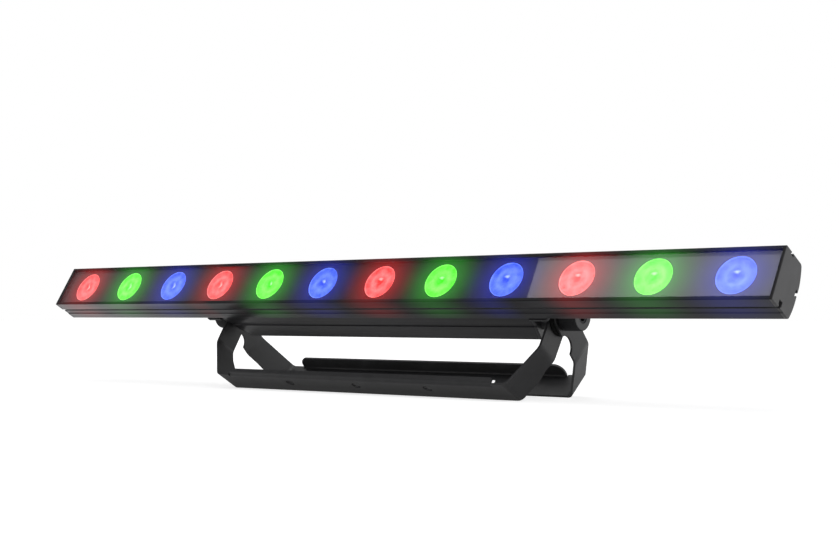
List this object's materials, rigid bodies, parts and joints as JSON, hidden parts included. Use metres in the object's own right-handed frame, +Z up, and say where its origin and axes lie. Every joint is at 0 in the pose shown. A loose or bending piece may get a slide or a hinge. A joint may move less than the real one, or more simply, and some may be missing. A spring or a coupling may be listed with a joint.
{
  "type": "led strip batten",
  "caption": "Slim aluminium light bar with a row of coloured lenses, leaning back on two folding U-shaped floor yokes with clamp knobs.",
  "frame": {"origin": "middle of the whole object in plan, on the surface that it stands on", "axes": "+X along the bar, -Y the way the bar faces, +Z up"},
  "size_m": [1, 0.1433, 0.1434],
  "materials": {
    "black_housing": "black anodised, satin",
    "black_cap": "matt black",
    "cast_end": "matt black, fine texture",
    "clear_window": "clear, glossy",
    "black_mask": "matt",
    "lens_holder": "matt",
    "circuit_board": "solder mask, satin",
    "emitter": "clear dome over a pale base",
    "zinc_screw": "zinc plated",
    "black_screw": "blackened",
    "pivot_steel": "turned, satin",
    "washer_steel": "blackened",
    "friction_pad": "matt",
    "knob_black": "fine grain",
    "yoke_black": "powder coat, fine texture",
    "panel_plate": "satin black",
    "display_cover": "glossy, smoked",
    "socket_plastic": "fine grain",
    "socket_metal": "black zinc",
    "button_rubber": "matt",
    "loop_steel": "blackened",
    "winding": "tape over the winding",
    "capacitor_sleeve": "shrunk sleeve",
    "lead_jacket": "matt",
    "grommet_rubber": "matt",
    "lens_red": "lit, satin",
    "lens_green": "lit, satin",
    "lens_blue": "lit, satin"
  },
  "bodies": {
    "bar": {"board_pillars": "zinc_screw", "board_screws": "zinc_screw", "case_nuts": "zinc_screw", "case_screws": "zinc_screw", "control_board": "circuit_board", "control_plate": "panel_plate", "data_inlet": "socket_metal", "data_outlet": "socket_metal", "display_window": "display_cover", "driver_case": "black_housing", "driver_end_screws": "black_screw", "friction_discs": "friction_pad", "front_window": "clear_window", "fuse_holder": "socket_plastic", "housing_extrusion": "black_housing", "inner_washers": "friction_pad", "lamp_lead": "lead_jacket", "lead_grommet": "grommet_rubber", "led_emitters": "emitter", "left_driver_end": "cast_end", "left_end_cap": "black_cap", "left_led_board": "circuit_board", "lens_01": "lens_red", "lens_02": "lens_green", "lens_03": "lens_blue", "lens_04": "lens_red", "lens_05": "lens_green", "lens_06": "lens_blue", "lens_07": "lens_red", "lens_08": "lens_green", "lens_09": "lens_blue", "lens_10": "lens_red", "lens_11": "lens_green", "lens_12": "lens_blue", "lens_holders": "lens_holder", "lens_mask": "black_mask", "pivot_bushes": "pivot_steel", "power_board": "circuit_board", "power_capacitors": "capacitor_sleeve", "power_inlet": "socket_plastic", "power_outlet": "socket_plastic", "power_transformer": "winding", "right_driver_end": "cast_end", "right_end_cap": "black_cap", "right_led_board": "circuit_board", "safety_loop": "loop_steel"},
    "front_yoke": {"front_yoke": "yoke_black"},
    "rear_yoke": {"rear_yoke": "yoke_black"},
    "right_clamp": {"right_clamp_washer": "washer_steel"},
    "left_clamp": {"left_clamp_washer": "washer_steel"},
    "right_knob": {"right_clamp_stud": "pivot_steel", "right_clamp_knob": "knob_black"},
    "left_knob": {"left_clamp_stud": "pivot_steel", "left_clamp_knob": "knob_black"},
    "fuse_cap": {"fuse_cap": "socket_plastic"},
    "data_latch": {"data_latch": "socket_metal"},
    "menu_button": {"menu_button": "button_rubber"},
    "down_button": {"down_button": "button_rubber"},
    "up_button": {"up_button": "button_rubber"},
    "enter_button": {"enter_button": "button_rubber"}
  },
  "joints": [
    {"name": "front_yoke_pivot", "type": "hinge", "parent": "bar", "child": "front_yoke", "pos_m": [0, -0.0013, 0.0824], "axis": [1, 0, 0], "range_deg": [-28, 30]},
    {"name": "rear_yoke_pivot", "type": "hinge", "parent": "bar", "child": "rear_yoke", "pos_m": [0, -0.0013, 0.0824], "axis": [1, 0, 0], "range_deg": [-38, 135]},
    {"name": "right_clamp_travel", "type": "slide", "parent": "bar", "child": "right_clamp", "axis": [1, 0, 0], "range_m": [0, 0.00255]},
    {"name": "right_knob_turn", "type": "hinge", "parent": "right_clamp", "child": "right_knob", "pos_m": [0, -0.0013, 0.0824], "axis": [1, 0, 0], "range_deg": [0, 720]},
    {"name": "left_clamp_travel", "type": "slide", "parent": "bar", "child": "left_clamp", "axis": [-1, 0, 0], "range_m": [0, 0.00255]},
    {"name": "left_knob_turn", "type": "hinge", "parent": "left_clamp", "child": "left_knob", "pos_m": [0, -0.0013, 0.0824], "axis": [-1, 0, 0], "range_deg": [0, 720]},
    {"name": "menu_press", "type": "slide", "parent": "bar", "child": "menu_button", "axis": [0, 0.8545, -0.5195], "range_m": [-0.001, 0], "stiffness_N_per_m": 400},
    {"name": "down_press", "type": "slide", "parent": "bar", "child": "down_button", "axis": [0, 0.8545, -0.5195], "range_m": [-0.001, 0], "stiffness_N_per_m": 400},
    {"name": "up_press", "type": "slide", "parent": "bar", "child": "up_button", "axis": [0, 0.8545, -0.5195], "range_m": [-0.001, 0], "stiffness_N_per_m": 400},
    {"name": "enter_press", "type": "slide", "parent": "bar", "child": "enter_button", "axis": [0, 0.8545, -0.5195], "range_m": [-0.001, 0], "stiffness_N_per_m": 400},
    {"name": "fuse_cap_turn", "type": "hinge", "parent": "bar", "child": "fuse_cap", "pos_m": [0.136, 0.01309, 0.0747], "axis": [0, 0.8545, -0.5195], "range_deg": [0, 90]},
    {"name": "data_latch_press", "type": "slide", "parent": "bar", "child": "data_latch", "axis": [0, 0.8545, -0.5195], "range_m": [-0.0012, 0], "stiffness_N_per_m": 300}
  ],
  "couplings": [
    {"joint": "right_clamp_travel", "follows": "right_knob_turn", "m_per_rad": 0.00019894},
    {"joint": "left_clamp_travel", "follows": "left_knob_turn", "m_per_rad": 0.00019894}
  ]
}
